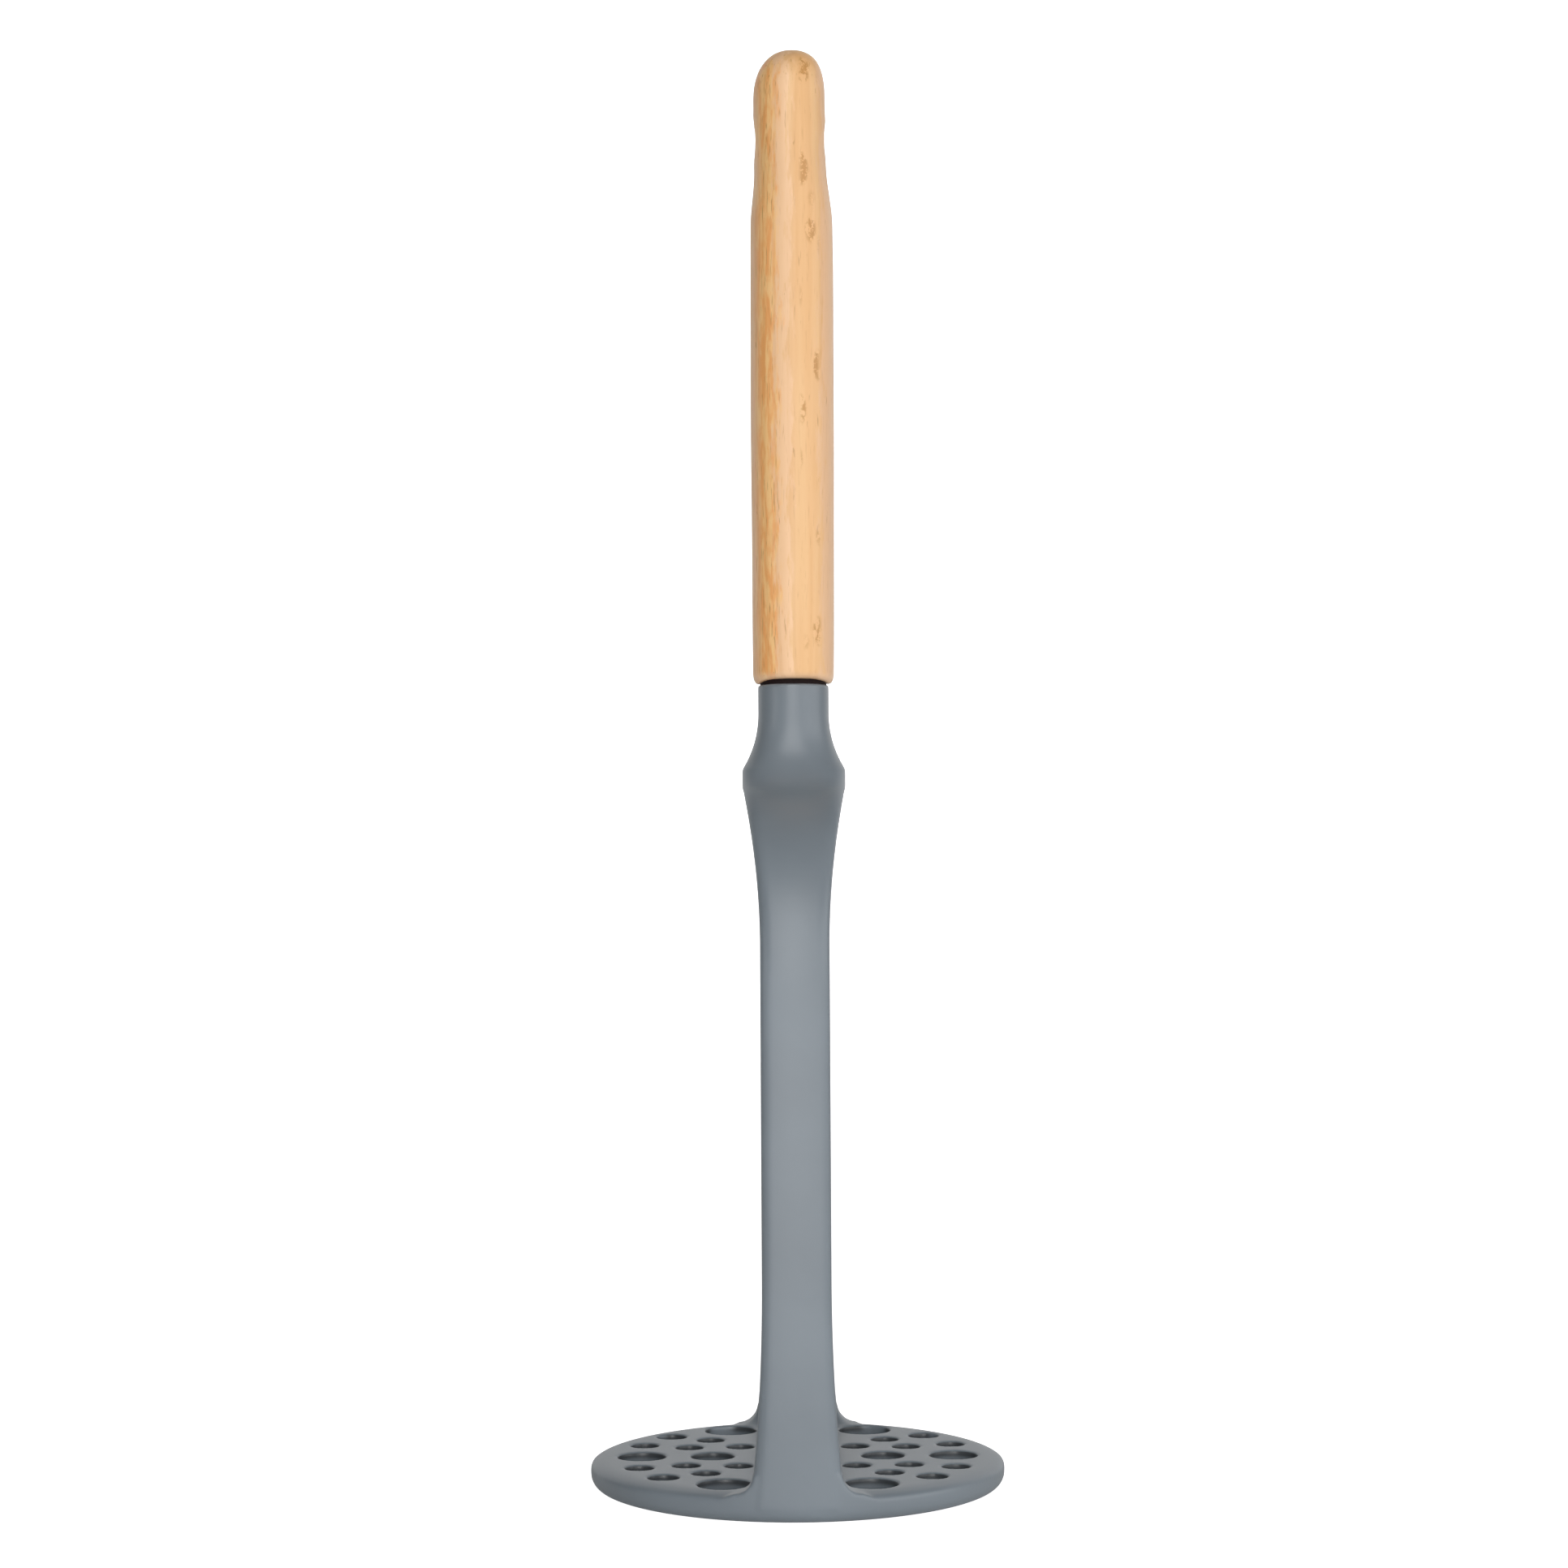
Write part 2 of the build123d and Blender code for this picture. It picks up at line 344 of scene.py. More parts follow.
def neck_form():
    """The oval neck, flaring down onto the crown and tucked into it."""
    across = neck_half_depth + depth_flare_radius
    reach = plate_radius + depth_flare_radius
    flare_height = arch_centre_height + math.sqrt(reach**2 - across**2)
    touch = arch_centre_height + (flare_height - arch_centre_height) * plate_radius / reach
    root = touch + root_rise
    root_half_width = crown_half_width - root_tuck

    def half_depth(height):
        fall = max(flare_height - height, 0)
        return across - math.sqrt(depth_flare_radius**2 - fall**2)

    def half_width(height):
        fall = max(arch_height + width_flare_height - height, 0)
        return neck_half_width + width_flare_radius - math.sqrt(width_flare_radius**2 - fall**2)

    slices = []
    for step in range(root_steps + 1):
        share = step / root_steps
        height = root + (shoulder_height - root) * share
        width = root_half_width + (half_width(shoulder_height) - root_half_width) * share
        squareness = root_squareness + (shoulder_squareness - root_squareness) * share
        slices.append((height, width, half_depth(height), squareness, 0))
    edge_bottom = neck_top - neck_edge_radius
    for step in range(1, neck_steps + 1):
        share = step / neck_steps
        height = shoulder_height + (edge_bottom - shoulder_height) * share
        squareness = neck_squareness + (shoulder_squareness - neck_squareness) * (1 - share) ** 3
        slices.append((height, half_width(height), half_depth(height), squareness, 0))
    for past, short in rounding(neck_edge_steps)[1:]:
        height = neck_top - neck_edge_radius * short
        width = neck_half_width - neck_edge_radius * past
        depth = neck_half_depth - neck_edge_radius * past
        slices.append((height, width, depth, neck_squareness, 0))
    return stack(slices, neck_segments)


def hole_form(radius, x, y):
    """What one hole takes away: a straight bore that rolls out softly at both faces."""
    lip = [(hole_lip * past, hole_lip * short) for past, short in rounding(hole_lip_steps)]
    profile = [
        (-hole_cut_past, hole_lip),
        *lip,
        *((plate_thickness - height, wider) for height, wider in reversed(lip)),
        (plate_thickness + hole_cut_past, hole_lip),
    ]
    form = stack([round_slice(height, radius + wider) for height, wider in profile], hole_segments)
    bmesh.ops.translate(form, verts=form.verts[:], vec=(x, y, 0))
    return form


def hole_forms():
    """Every hole of the plate, mirrored out of one quarter."""
    places = set()
    for diameter, quarter in hole_groups:
        for x, y in quarter:
            places.update((diameter, side * x, end * y) for side in (1, -1) for end in (1, -1))
    return [hole_form(diameter / 2, x, y) for diameter, x, y in sorted(places)]


masher_head = to_object(plate_form(), "silicone_head")
for end in (1, -1):
    foot = to_object(foot_form(end), "foot")
    combine(foot, to_object(trim_form(), "trim"), "INTERSECT")
    combine(masher_head, foot, "UNION")
combine(masher_head, to_object(gathered(hole_forms()), "holes"), "DIFFERENCE")
plate_with_feet = bmesh.new()
plate_with_feet.from_mesh(masher_head.data)
whole_head = gathered([plate_with_feet, strap_form(), neck_form()])
whole_head.to_mesh(masher_head.data)
whole_head.free()
soften(masher_head, skin_voxel, skin_passes, skin_kept)


def material(name):
    """A new material with its nodes, its tree and its Principled shader."""
    made = bpy.data.materials.new(name)
    made.use_nodes = True
    shader = made.node_tree.nodes["Principled BSDF"]
    return made, made.node_tree, shader


def node(tree, kind, **settings):
    """A node of a tree, with its settings and its inputs' values."""
    made = tree.nodes.new(kind)
    for name, value in settings.items():
        if name in made.inputs:
            made.inputs[name].default_value = value
        else:
            setattr(made, name, value)
    return made


def mottle_group():
    """Soft and fine unevenness of a finished surface, as a mask and a height."""
    group = bpy.data.node_groups.new("surface_mottle", "ShaderNodeTree")
    face = group.interface
    face.new_socket("Vector", in_out="INPUT", socket_type="NodeSocketVector")
    face.new_socket("Broad Scale", in_out="INPUT", socket_type="NodeSocketFloat")
    face.new_socket("Fine Scale", in_out="INPUT", socket_type="NodeSocketFloat")
    face.new_socket("Mask", in_out="OUTPUT", socket_type="NodeSocketFloat")
    face.new_socket("Height", in_out="OUTPUT", socket_type="NodeSocketFloat")
    entry = group.nodes.new("NodeGroupInput")
    leave = group.nodes.new("NodeGroupOutput")
    soft = node(group, "ShaderNodeTexNoise", Detail=3.0, Roughness=0.5)
    grit = node(group, "ShaderNodeTexNoise", Detail=2.0, Roughness=0.6)
    link = group.links.new
    link(entry.outputs["Vector"], soft.inputs["Vector"])
    link(entry.outputs["Vector"], grit.inputs["Vector"])
    link(entry.outputs["Broad Scale"], soft.inputs["Scale"])
    link(entry.outputs["Fine Scale"], grit.inputs["Scale"])
    link(soft.outputs["Fac"], leave.inputs["Mask"])
    link(grit.outputs["Fac"], leave.inputs["Height"])
    return group


surface_mottle = mottle_group()


def mottle_in(tree, place, broad, fine):
    """The mottle placed in a material with its own scales, as its mask and its height."""
    made = tree.nodes.new("ShaderNodeGroup")
    made.node_tree = surface_mottle
    made.inputs["Broad Scale"].default_value = broad
    made.inputs["Fine Scale"].default_value = fine
    tree.links.new(place, made.inputs["Vector"])
    return made.outputs["Mask"], made.outputs["Height"]


def feed(tree, sockets, values):
    """Gives each socket its constant or its link."""
    for socket, value in zip(sockets, values):
        if isinstance(value, (float, tuple)):
            socket.default_value = value
        else:
            tree.links.new(value, socket)


def calculate(tree, operation, first, second=0.0):
    """One or two values put through an operation."""
    made = node(tree, "ShaderNodeMath", operation=operation)
    feed(tree, made.inputs, (first, second))
    return made.outputs[0]


def times(tree, first, *others):
    """Values multiplied together."""
    product = first
    for other in others:
        product = calculate(tree, "MULTIPLY", product, other)
    return product


def band(tree, value, low, high, floor=0.0, top=1.0):
    """A smooth step of a value, from one level at low to another at high."""
    reach = node(tree, "ShaderNodeMapRange", interpolation_type="SMOOTHSTEP")
    feed(tree, reach.inputs, (value, low, high, floor, top))
    return reach.outputs["Result"]


def blend(tree, factor, first, second):
    """Two colours mixed by a factor."""
    mix = node(tree, "ShaderNodeMix", data_type="RGBA")
    share, colour_a, colour_b = mix.inputs[0], mix.inputs[6], mix.inputs[7]
    feed(tree, (share, colour_a, colour_b), (factor, first, second))
    return mix.outputs[2]


def shades(tree, value, *stops):
    """The colours that a value runs through, each as (place, colour)."""
    ramp = node(tree, "ShaderNodeValToRGB")
    marks = ramp.color_ramp.elements
    marks[0].position, marks[0].color = stops[0]
    marks[1].position, marks[1].color = stops[-1]
    for place, colour in stops[1:-1]:
        marks.new(place).color = colour
    tree.links.new(value, ramp.inputs["Fac"])
    return ramp.outputs["Color"]


def relief(tree, shader, height, strength, depth):
    """Gives a surface a fine relief."""
    bump = node(tree, "ShaderNodeBump", Strength=strength, Distance=depth)
    tree.links.new(height, bump.inputs["Height"])
    tree.links.new(bump.outputs["Normal"], shader.inputs["Normal"])


def silicone_material():
    """Matt silicone: blue-grey with faint clouds, a fine mould texture and painted shade in the
    holes.
    """
    made, tree, shader = material("grey_silicone")
    link = tree.links.new
    place = node(tree, "ShaderNodeTexCoord").outputs["Object"]
    mask, height = mottle_in(tree, place, 45.0, 2600.0)
    tone = shades(tree, mask, (0.3, silicone_deep), (0.7, silicone_light))

    flat = node(tree, "ShaderNodeMapping", Scale=(1, 1, 0))
    link(place, flat.inputs["Vector"])
    from_axis = node(tree, "ShaderNodeVectorMath", operation="LENGTH")
    link(flat.outputs["Vector"], from_axis.inputs[0])
    parts = node(tree, "ShaderNodeSeparateXYZ")
    link(place, parts.inputs["Vector"])
    up = parts.outputs["Z"]
    rim_ends = [plate_radius - inward for inward in shade_from_rim]
    lip_ends = [plate_thickness - drop for drop in shade_under_lip]
    fade_ends = [plate_thickness - drop for drop in shade_fade]
    # Painted shade: below the plate's top and inside its rim, where the hole walls are, the colour
    # is darkened
    shade = times(
        tree,
        band(tree, from_axis.outputs["Value"], *rim_ends),
        band(tree, up, *lip_ends),
        band(tree, up, *fade_ends, 0.9, 0.25),
    )
    link(blend(tree, shade, tone, painted_hole_shade), shader.inputs["Base Color"])

    gloss = node(tree, "ShaderNodeMapRange")
    feed(tree, gloss.inputs, (mask, 0.0, 1.0, 0.34, 0.42))
    link(gloss.outputs["Result"], shader.inputs["Roughness"])
    relief(tree, shader, height, 0.12, 0.03 * mm)
    shader.inputs["Specular IOR Level"].default_value = 0.55
    return made


masher_head.data.materials.clear()
masher_head.data.materials.append(silicone_material())
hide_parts("masher_head")
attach(masher_head, "root")

# Beech handle
# One piece of beech, oval in section, milled thinner near the top for hanging and sanded smooth.
# It is drilled from below for the tang, glued there, and finished with a satin oil.
overall_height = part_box("beech_handle")[1].z
wood_bottom = neck_top
wood_squareness = 2.12
wood_segments = 96
wood_voxel = 0.46 * mm
wood_passes = 3

end_half_width = 8.25 * mm
end_half_depth = 10.2 * mm
end_edge_inset = 1.35 * mm
end_edge_height = 2.0 * mm
end_edge_steps = 6
end_ring_shares = (0.02, 0.3, 0.55, 0.75, 0.9)
end_arch_half = 7.25 * mm
end_arch_rise = 0.95 * mm
end_arch_flatness = 5
end_arch_fade = 5.0 * mm

grip_steps = 90
dome_height = 10.2 * mm
dome_half_width = 7.3 * mm
dome_half_depth = 10.0 * mm
dome_squareness = 2.5
dome_steps = 20
dome_tip_share = 0.05

hang_hole_radius = 3.0 * mm
hang_hole_drop = 18.0 * mm
hang_hole_lip = 0.3 * mm
hang_hole_lip_steps = 5
hang_half_width = 7.1 * mm

# The hanging hole's cutter outside the wood, as (distance out, growth over the hole's lip)
hang_cut_rows = ((5.0 * mm, 3.0 * mm), (hang_hole_lip, 1.0 * mm))

socket_radius = 5.3 * mm
socket_depth = 66.0 * mm
socket_cone = 3.0 * mm
socket_tip = 0.1 * mm
socket_cut_past = 5.0 * mm
bore_segments = 64

# The wood above its lower end, as (height over the end, half width, half depth, middle's x)
grip_outline = (
    (1.5 * mm, 8.25 * mm, 10.2 * mm, 0.05 * mm),
    (12.0 * mm, 8.32 * mm, 10.45 * mm, 0.07 * mm),
    (32.0 * mm, 8.38 * mm, 10.8 * mm, 0.10 * mm),
    (50.0 * mm, 8.48 * mm, 11.0 * mm, 0.10 * mm),
    (70.0 * mm, 8.46 * mm, 11.0 * mm, 0.13 * mm),
    (84.0 * mm, 8.44 * mm, 11.0 * mm, 0.17 * mm),
    (91.0 * mm, 8.38 * mm, 11.0 * mm, 0.15 * mm),
    (95.2 * mm, 8.28 * mm, 10.97 * mm, 0.15 * mm),
    (99.2 * mm, 7.84 * mm, 10.85 * mm, 0.10 * mm),
    (102.9 * mm, 7.44 * mm, 10.65 * mm, 0.0),
    (107.2 * mm, 7.32 * mm, 10.45 * mm, -0.12 * mm),
    (112.7 * mm, 7.42 * mm, 10.35 * mm, -0.18 * mm),
    (116.7 * mm, 7.31 * mm, 10.2 * mm, -0.20 * mm),
    (119.4 * mm, 7.3 * mm, 10.0 * mm, -0.22 * mm),
    (122.4 * mm, 7.3 * mm, 10.0 * mm, -0.12 * mm),
    (125.0 * mm, 7.3 * mm, 10.0 * mm, 0.05 * mm),
    (127.5 * mm, 7.3 * mm, 10.0 * mm, 0.30 * mm),
    (129.9 * mm, 7.3 * mm, 10.0 * mm, 0.36 * mm),
)

beech_deep = (0.825, 0.470, 0.203, 1)
beech_plain = (0.86, 0.510, 0.237, 1)
beech_light = (0.885, 0.550, 0.268, 1)
# A pale colour painted in as the highlight running down the wood left of its middle
painted_highlight_pale = (0.95, 0.61, 0.355, 1)
edge_rosy = (0.88, 0.555, 0.330, 1)
heart_deep = (0.91, 0.395, 0.105, 1)
heart_light = (0.99, 0.60, 0.235, 1)
ring_brown = (0.66, 0.32, 0.10, 1)
pore_brown = (0.45, 0.18, 0.045, 1)
mark_brown = (0.50, 0.235, 0.075, 1)
fleck_brown = (0.57, 0.27, 0.075, 1)
# Painted highlight on the rounded edge of the wood's lower end
painted_end_highlight = (0.95, 0.64, 0.42, 1)


def eased(table, height, column):
    """A value at a height of a table, along a smooth curve through the table's rows."""
    last = len(table) - 1
    if height <= table[0][0]:
        return table[0][column]
    if height > table[last][0]:
        return table[last][column]
    above = next(number for number in range(1, last + 1) if height <= table[number][0])
    low, high = table[above - 1], table[above]
    before, after = table[max(above - 2, 0)], table[min(above + 1, last)]
    span = high[0] - low[0]
    share = (height - low[0]) / span
    slope_low = (high[column] - before[column]) / (high[0] - before[0]) * span
    slope_high = (after[column] - low[column]) / (after[0] - low[0]) * span
    return (
        (2 * share**3 - 3 * share**2 + 1) * low[column]
        + (share**3 - 2 * share**2 + share) * slope_low
        + (3 * share**2 - 2 * share**3) * high[column]
        + (share**3 - share**2) * slope_high
    )


def end_hollow(x):
    """How far the wood's end is hollowed at a place across it, from 1 in the middle to 0."""
    return max(1 - abs(x / end_arch_half) ** end_arch_flatness, 0)


def handle_form():
    """The wood's outer form: hollowed end, rounded edge, grip, thinned top and dome."""
    slices = []
    for share in end_ring_shares:
        width = (end_half_width - end_edge_inset) * share
        depth = (end_half_depth - end_edge_inset) * share
        slices.append((wood_bottom, width, depth, wood_squareness, 0))
    for past, short in rounding(end_edge_steps):
        width = end_half_width - end_edge_inset * short
        depth = end_half_depth - end_edge_inset * short
        slices.append((wood_bottom + end_edge_height * past, width, depth, wood_squareness, 0))
    dome_base = overall_height - dome_height
    grip_length = dome_base - wood_bottom - end_edge_height
    for step in range(1, grip_steps):
        height = end_edge_height + grip_length * step / grip_steps
        width = eased(grip_outline, height, 1)
        depth = eased(grip_outline, height, 2)
        slices.append((wood_bottom + height, width, depth, wood_squareness, 0))
    for step in range(dome_steps):
        rise = math.sin(step / dome_steps * math.pi / 2)
        share = (1 - rise**dome_squareness) ** (1 / dome_squareness)
        height = dome_base + dome_height * rise
        width, depth = dome_half_width * share, dome_half_depth * share
        slices.append((height, width, depth, wood_squareness, 0))
    width, depth = dome_half_width * dome_tip_share, dome_half_depth * dome_tip_share
    slices.append((overall_height, width, depth, wood_squareness, 0))
    form = stack(slices, wood_segments)
    for vert in form.verts:
        fade = max(1 - (vert.co.z - wood_bottom) / end_arch_fade, 0)
        vert.co.z += end_arch_rise * end_hollow(vert.co.x) * fade
        vert.co.x += eased(grip_outline, vert.co.z - wood_bottom, 3)
    return form


def socket_form():
    """The blind hole for the tang, with a drill's cone at its end."""
    top = wood_bottom + socket_depth
    slices = [
        round_slice(wood_bottom - socket_cut_past, socket_radius),
        round_slice(top, socket_radius),
        round_slice(top + socket_cone, socket_tip),
    ]
    return stack(slices, bore_segments)


def hang_hole_form():
    """The hole for hanging, through both broad faces, with eased edges."""
    mouth = [(-hang_half_width - out, hang_hole_lip + growth) for out, growth in hang_cut_rows]
    for past, short in rounding(hang_hole_lip_steps):
        mouth.append((-hang_half_width + hang_hole_lip * past, hang_hole_lip * short))
    profile = mouth + [(-height, wider) for height, wider in reversed(mouth)]
    slices = [round_slice(height, hang_hole_radius + wider) for height, wider in profile]
    form = stack(slices, bore_segments)
    sideways = Matrix.Rotation(math.pi / 2, 3, "Y")
    bmesh.ops.rotate(form, verts=form.verts[:], cent=(0, 0, 0), matrix=sideways)
    middle = overall_height - hang_hole_drop
    bmesh.ops.translate(form, verts=form.verts[:], vec=(0, 0, middle))
    return form


handle = to_object(handle_form(), "wooden_handle")
combine(handle, to_object(socket_form(), "socket"), "DIFFERENCE")
combine(handle, to_object(hang_hole_form(), "hang_hole"), "DIFFERENCE")
soften(handle, wood_voxel, wood_passes, 1)


def beech_material():
    """Oiled beech: streaked zones along the grain, with rings, dark pores and a few ray flecks."""
    made, tree, shader = material("oiled_beech")
    link = tree.links.new
    place = node(tree, "ShaderNodeTexCoord").outputs["Object"]

    def grain_place(stretch, shift=(0.0, 0.0, 0.0)):
        mapping = node(tree, "ShaderNodeMapping", Scale=stretch, Location=shift)
        link(place, mapping.inputs["Vector"])
        return mapping.outputs["Vector"]

    def grain_noise(stretch, detail, roughness, distortion=0.0, shift=(0.0, 0.0, 0.0)):
        noise = node(
            tree,
            "ShaderNodeTexNoise",
            Scale=1.0,
            Detail=detail,
            Roughness=roughness,
            Distortion=distortion,
        )
        link(grain_place(stretch, shift), noise.inputs["Vector"])
        return noise.outputs["Fac"]

    parts = node(tree, "ShaderNodeSeparateXYZ")
    link(place, parts.inputs["Vector"])
    across, up = parts.outputs["X"], parts.outputs["Z"]

    streaks = grain_noise((420.0, 320.0, 16.0), 4.0, 0.55, 0.4)
    plain = shades(tree, streaks, (0.30, beech_deep), (0.5, beech_plain), (0.70, beech_light))

    # Zones across the wood with ragged borders: heart side, a pale band that is a painted
    # highlight, plain middle, rosy edge
    fringe = grain_noise((750.0, 480.0, 125.0), 4.0, 0.65)
    border = calculate(tree, "ADD", across, times(tree, fringe, 7.0 * mm))
    # Painted highlight: a pale band left of the middle, where the light's reflection runs down the
    # wood
    painted_highlight_band = times(tree, band(tree, border, 3.8 * mm, 2.4 * mm), 0.85)
    pale = blend(tree, painted_highlight_band, plain, painted_highlight_pale)
    edge_zone = band(tree, border, 8.5 * mm, 10.2 * mm, 0.0, 0.8)
    rosy = blend(tree, edge_zone, pale, edge_rosy)
    heart_start = band(tree, border, 1.4 * mm, -0.6 * mm)
    heart = times(tree, heart_start, band(tree, across, -7.8 * mm, -5.8 * mm, 0.35, 1.0))
    tiger = grain_noise((900.0, 560.0, 115.0), 5.0, 0.6, 0.7, shift=(0.4, 0.0, 2.2))
    heart_tone = shades(tree, tiger, (0.42, heart_deep), (0.58, heart_light))
    warm = blend(tree, times(tree, heart, 0.88), rosy, heart_tone)

    # Growth rings round a pith outside the wood
    wander = grain_noise((180.0, 150.0, 9.0), 2.0, 0.5)
    from_pith = node(tree, "ShaderNodeVectorMath", operation="LENGTH")
    link(grain_place((1.0, 1.0, 0.03), shift=(0.021, -0.017, 0.0)), from_pith.inputs[0])
    ring_place = calculate(tree, "ADD", from_pith.outputs["Value"], times(tree, wander, 3.5 * mm))
    ring_wave = calculate(tree, "SINE", times(tree, ring_place, 2400.0))
    ringed = blend(tree, band(tree, ring_wave, 0.5, 1.0, 0.0, 0.16), warm, ring_brown)

    # Pores: short dark dashes along the grain, thicker on the heart side
    pores = grain_noise((3200.0, 2800.0, 190.0), 2.0, 0.6)
    pore_spots = band(tree, pores, 0.60, 0.70, 0.0, 0.5)
    pore_amount = times(tree, pore_spots, calculate(tree, "ADD", heart, 0.35))
    pored = blend(tree, pore_amount, ringed, pore_brown)

    # Longer marks, few and thin
    marks = grain_noise((1250.0, 900.0, 115.0), 3.0, 0.65, 0.5, shift=(0.9, 0.0, 0.6))
    marked = blend(tree, band(tree, marks, 0.655, 0.72, 0.0, 0.55), pored, mark_brown)

    # Ray flecks: small ragged marks in a column right of the middle
    flecks = node(tree, "ShaderNodeTexVoronoi", Scale=1.0, Randomness=0.8)
    link(grain_place((210.0, 60.0, 92.0), shift=(0.18, 0.3, 0.35)), flecks.inputs["Vector"])
    spot = band(tree, flecks.outputs["Distance"], 0.24, 0.36, 1.0, 0.0)
    ragged = band(tree, grain_noise((950.0, 700.0, 620.0), 3.0, 0.7), 0.45, 0.54)
    column_left = band(tree, across, 1.4 * mm, 2.4 * mm)
    column_right = band(tree, across, 6.0 * mm, 5.0 * mm)
    fleck_amount = times(tree, spot, ragged, column_left, column_right, 0.84)
    flecked = blend(tree, fleck_amount, marked, fleck_brown)

    # Painted highlight: the rounded edge of the lower end is made paler, as if it catches the light
    end_highlight_mask = band(tree, up, wood_bottom + 2.6 * mm, wood_bottom + 1.0 * mm, 0.0, 0.55)
    link(blend(tree, end_highlight_mask, flecked, painted_end_highlight), shader.inputs["Base Color"])

    mask, _ = mottle_in(tree, place, 90.0, 1800.0)
    link(band(tree, mask, 0.3, 0.7, 0.38, 0.52), shader.inputs["Roughness"])
    relief(tree, shader, calculate(tree, "SUBTRACT", streaks, pore_amount), 0.15, 0.05 * mm)
    shader.inputs["Specular IOR Level"].default_value = 0.5
    shader.inputs["Coat Weight"].default_value = 0.15
    shader.inputs["Coat Roughness"].default_value = 0.3
    return made


handle.data.materials.clear()
handle.data.materials.append(beech_material())
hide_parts("beech_handle")
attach(handle, "root")

# Stiff core and adhesive
# The core is one black nylon moulding inside the silicone, with its tang glued up into the wood.
# Only its top shows, in the hollow of the wood's end, and a collar raises it to the seam there. Its
# near-black colour with a brown cast also stands for the shade in that seam, so it is partly
# painted shade.
# The core and the hidden adhesive keep the shapes they are packed with, and get their finish here.
collar_half_width = 6.75 * mm
collar_half_depth = 7.9 * mm
collar_root = 2.0 * mm
collar_root_share = 0.9
collar_gap = 0.05 * mm
collar_top_shares = (1, 0.98, 0.8, 0.55, 0.25)

# The nylon's near-black colour with a brown cast is also painted shade for the seam between the
# wood and the neck
nylon_seam_shade_deep = (0.008, 0.003, 0.003, 1)
nylon_seam_shade_light = (0.016, 0.008, 0.008, 1)
adhesive_deep = (0.50, 0.40, 0.22, 1)
adhesive_light = (0.66, 0.56, 0.36, 1)


def collar_form():
    """The top of the stiff core, which stands out of the neck into the hollow of the wood's end."""
    rings = [
        (neck_top - collar_root, collar_root_share),
        (neck_top - collar_root / 2, 1),
        *((neck_top - collar_gap, share) for share in collar_top_shares),
    ]
    slices = []
    for height, share in rings:
        width, depth = share * collar_half_width, share * collar_half_depth
        slices.append((height, width, depth, neck_squareness, 0))
    form = stack(slices, neck_segments)
    for vert in form.verts:
        if vert.co.z > neck_top - collar_root / 4:
            vert.co.z += end_arch_rise * end_hollow(vert.co.x)
    return form


def nylon_material():
    """Black glass-filled nylon, matt with a fine grit; its near-black colour with a faint brown
    cast is also painted shade for the seam under the wood.
    """
    made, tree, shader = material("black_nylon_seam_shade")
    place = node(tree, "ShaderNodeTexCoord").outputs["Object"]
    mask, height = mottle_in(tree, place, 120.0, 3000.0)
    tone = shades(tree, mask, (0.0, nylon_seam_shade_deep), (1.0, nylon_seam_shade_light))
    tree.links.new(tone, shader.inputs["Base Color"])
    relief(tree, shader, height, 0.2, 0.04 * mm)
    shader.inputs["Roughness"].default_value = 0.7
    shader.inputs["Specular IOR Level"].default_value = 0.15
    return made


def adhesive_material():
    """Cured adhesive: dull amber with cloudy patches."""
    made, tree, shader = material("cured_adhesive")
    place = node(tree, "ShaderNodeTexCoord").outputs["Object"]
    mask, _ = mottle_in(tree, place, 200.0, 1500.0)
    tone = shades(tree, mask, (0.0, adhesive_deep), (1.0, adhesive_light))
    tree.links.new(tone, shader.inputs["Base Color"])
    shader.inputs["Roughness"].default_value = 0.45
    return made


nylon = nylon_material()
collar = to_object(collar_form(), "core_collar")
collar.data.materials.append(nylon)
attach(collar, "root")
for node_name, finish in (("head_core", nylon), ("tang_adhesive", adhesive_material())):
    hidden_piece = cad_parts[node_name]
    hidden_piece.data.materials.clear()
    hidden_piece.data.materials.append(finish)

# Studio
# A pale floor and wall under a white sky, each brighter to the camera than to the masher.
# A broad soft panel stands at the front right and a tall one beside the camera. A low one brightens
# the plate's rim, and a small one with a grid brightens the left side of the wood.
floor_size = 6.0
wall_distance = 1.3
wall_width = 3.2
wall_height = 1.6
white = (1, 1, 1, 1)


def brightness(tree, to_masher, to_camera):
    """A strength that is one level for the masher and another for the camera."""
    sight = node(tree, "ShaderNodeLightPath")
    level = node(tree, "ShaderNodeMapRange")
    feed(tree, level.inputs, (sight.outputs["Is Camera Ray"], 0.0, 1.0, to_masher, to_camera))
    return level.outputs["Result"]


def glowing_material(name, grey, to_masher, to_camera):
    """A matt pale surface that glows."""
    made, tree, shader = material(name)
    shader.inputs["Base Color"].default_value = (grey, grey, grey, 1)
    shader.inputs["Roughness"].default_value = 0.9
    shader.inputs["Emission Color"].default_value = white
    tree.links.new(brightness(tree, to_masher, to_camera), shader.inputs["Emission Strength"])
    return made


floor = to_object(rectangle(floor_size, floor_size), "floor")
floor.data.materials.append(glowing_material("pale_floor", 0.7, 0.1, 1.0))
wall_form = rectangle(wall_width, wall_height)
upright = Matrix.Rotation(math.pi / 2, 3, "X")
bmesh.ops.rotate(wall_form, verts=wall_form.verts[:], cent=(0, 0, 0), matrix=upright)
bmesh.ops.translate(wall_form, verts=wall_form.verts[:], vec=(0, wall_distance, wall_height / 2))
wall = to_object(wall_form, "back_wall")
wall.data.materials.append(glowing_material("lit_wall", 0.9, 0.42, 1.1))

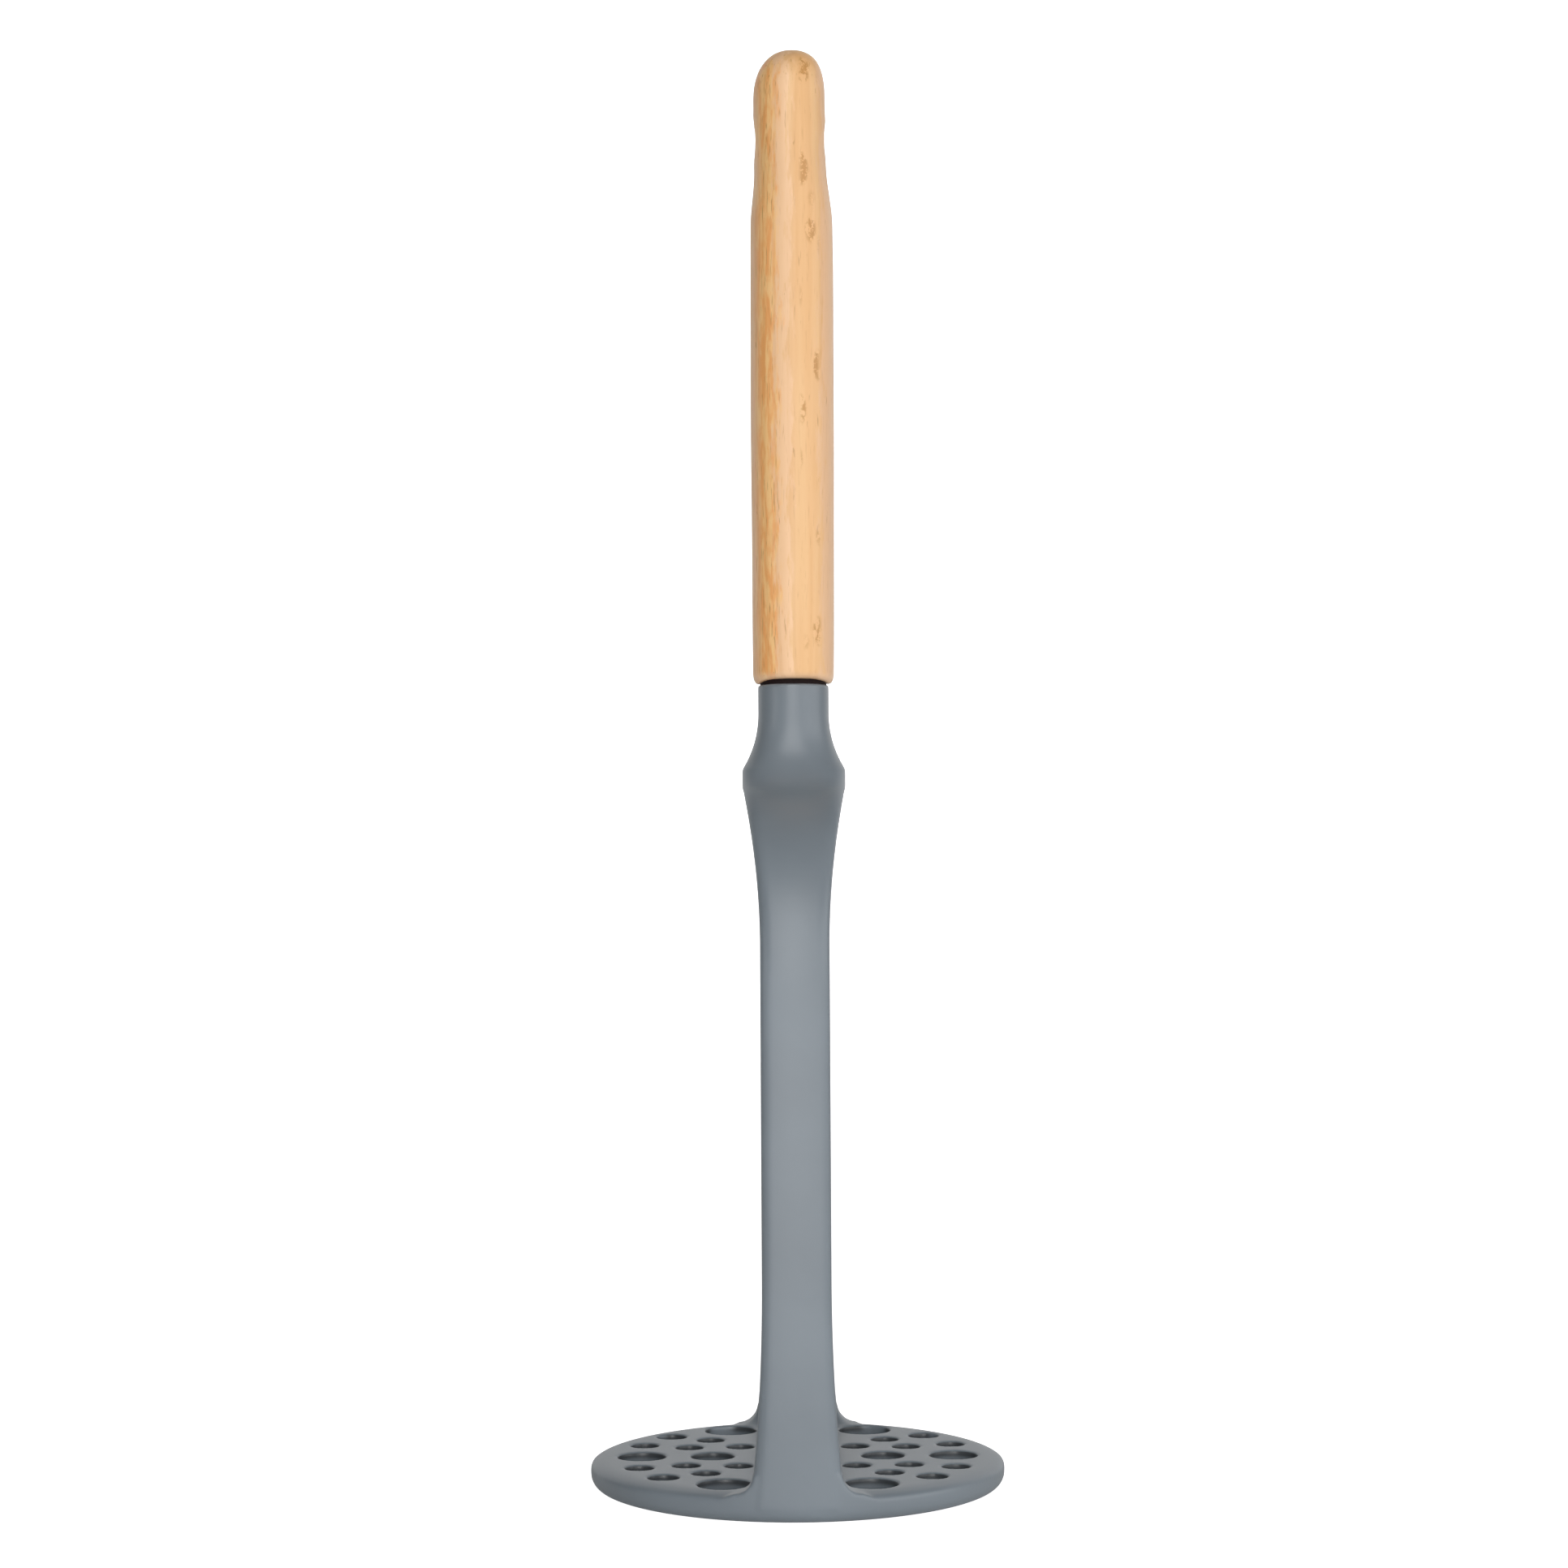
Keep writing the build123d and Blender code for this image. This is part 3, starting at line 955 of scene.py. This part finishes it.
world = bpy.data.worlds.new("studio")
bpy.context.scene.world = world
world.use_nodes = True
sky = world.node_tree.nodes["Background"]
sky.inputs["Color"].default_value = white
world.node_tree.links.new(brightness(world.node_tree, 0.12, 1.15), sky.inputs["Strength"])


def soft_light(name, place, width, height, power, aim=(0, 0, 0.15)):
    """A rectangular soft light, aimed at a point of the masher."""
    lamp = bpy.data.lights.new(name, "AREA")
    lamp.shape = "RECTANGLE"
    lamp.size = width
    lamp.size_y = height
    lamp.energy = power
    holder = bpy.data.objects.new(name, lamp)
    holder.location = place
    holder.rotation_euler = (Vector(aim) - Vector(place)).to_track_quat("-Z", "Y").to_euler()
    holder.visible_camera = False
    bpy.context.scene.collection.objects.link(holder)
    return holder


soft_light("right_panel", (1.27, -0.82, 0.45), 2.5, 1.1, 13.2)
soft_light("beside_camera", (-0.05, -1.15, 0.62), 0.30, 1.25, 6.9)
soft_light("front_bounce", (0, -0.25, 0.03), 0.26, 0.12, 0.14, aim=(0, 0, 0.05))
grid_light = soft_light("left_grid", (-0.75, -0.42, 0.36), 0.3, 0.4, 0.026, aim=(0, 0, 0.27))
grid_light.data.spread = math.radians(19)

# Camera
# It stands level in front of the masher, far enough to flatten the view, and leans by a third of a
# degree as the photo does. The numbers in pixels are those of the photo's own frame.
camera_distance = 669.0 * mm
camera_height = 129.7 * mm
camera_lean = 0.0057
frame_pixels = 1932
focal_pixels = 4048.8
axis_pixel = 978.6
horizon_pixel = 1042.1
camera_data = bpy.data.cameras.new("camera")
camera_data.sensor_width = 36.0
camera_data.lens = camera_data.sensor_width * focal_pixels / frame_pixels
camera_data.shift_x = (frame_pixels / 2 - axis_pixel) / frame_pixels
camera_data.shift_y = (horizon_pixel - frame_pixels / 2) / frame_pixels
camera_data.clip_start = 0.05
camera = bpy.data.objects.new("camera", camera_data)
camera.matrix_world = (
    Matrix.Translation((0, -camera_distance, camera_height))
    @ Matrix.Rotation(camera_lean, 4, "Y")
    @ Matrix.Rotation(math.pi / 2, 4, "X")
)
bpy.context.scene.collection.objects.link(camera)
bpy.context.scene.camera = camera
bpy.context.scene.view_settings.view_transform = "Standard"
